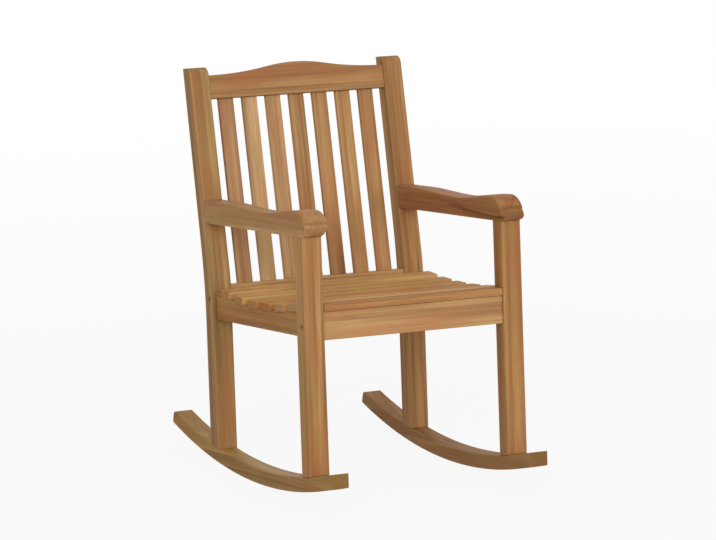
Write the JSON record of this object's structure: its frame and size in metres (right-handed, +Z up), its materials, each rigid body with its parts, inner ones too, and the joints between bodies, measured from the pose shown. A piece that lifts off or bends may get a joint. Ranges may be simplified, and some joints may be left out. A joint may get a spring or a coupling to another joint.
{
  "type": "rocking armchair",
  "caption": "Slatted hardwood rocking armchair: square legs tenoned into curved rockers, dished slat seat, raked slat back under a bowed crest rail, carved armrests with rounded ends.",
  "frame": {"origin": "on the floor under the middle of the chair's bounding box, with the chair leaning back on its rockers as it rests", "axes": "+Z up; the sitter looks along -Y; X runs across the chair, +X to the sitter's left"},
  "size_m": [0.6, 0.8939, 0.9855],
  "materials": {
    "teak_frame": "bare sanded teak, satin",
    "teak_seat": "bare sanded teak, satin",
    "teak_back": "bare sanded teak, satin",
    "bolt_steel": "dull zinc-plated steel"
  },
  "bodies": {
    "root": {"left_rocker": "teak_frame", "right_rocker": "teak_frame", "left_front_leg": "teak_frame", "right_front_leg": "teak_frame", "left_rear_post": "teak_frame", "right_rear_post": "teak_frame", "left_side_rail": "teak_frame", "right_side_rail": "teak_frame", "front_rail": "teak_frame", "rear_rail": "teak_frame", "crest_rail": "teak_frame", "left_armrest": "teak_frame", "right_armrest": "teak_frame", "front_seat_slat": "teak_seat", "seat_slat_1": "teak_seat", "seat_slat_2": "teak_seat", "seat_slat_3": "teak_seat", "seat_slat_4": "teak_seat", "seat_slat_5": "teak_seat", "seat_slat_6": "teak_seat", "back_slat_1": "teak_back", "back_slat_2": "teak_back", "back_slat_3": "teak_back", "back_slat_4": "teak_back", "back_slat_5": "teak_back", "back_slat_6": "teak_back", "back_slat_7": "teak_back", "rail_bolts": "bolt_steel", "barrel_nuts": "bolt_steel"}
  },
  "joints": []
}
